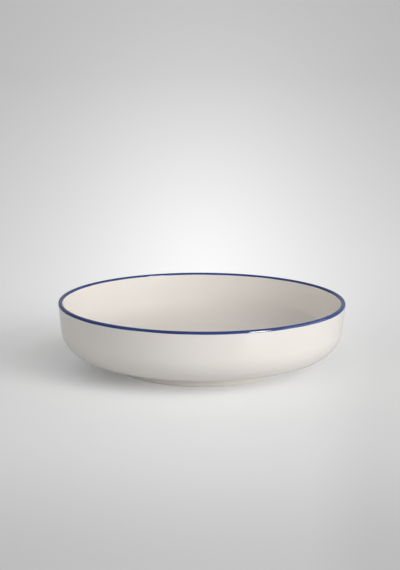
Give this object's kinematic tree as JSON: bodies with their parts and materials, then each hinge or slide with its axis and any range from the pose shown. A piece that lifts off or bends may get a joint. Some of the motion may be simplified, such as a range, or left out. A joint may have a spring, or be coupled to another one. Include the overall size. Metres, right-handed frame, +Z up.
{
  "type": "rimmed bowl",
  "caption": "Low round glazed stoneware bowl with steep sides, a dished floor, a turned foot ring and a blue glaze band over the lip.",
  "frame": {"origin": "centre of the circle that the foot ring stands on", "axes": "+Z up along the bowl's axis, from the foot ring to the open rim"},
  "size_m": [0.22, 0.22, 0.0523],
  "materials": {
    "bare_stoneware": "unglazed, fine and matt",
    "cream_glaze": "smooth and glossy",
    "blue_glaze": "smooth and glossy"
  },
  "bodies": {
    "root": {"clay_body": "bare_stoneware", "inner_glaze": "cream_glaze", "outer_glaze": "cream_glaze", "base_glaze": "cream_glaze", "rim_band": "blue_glaze"}
  },
  "joints": []
}
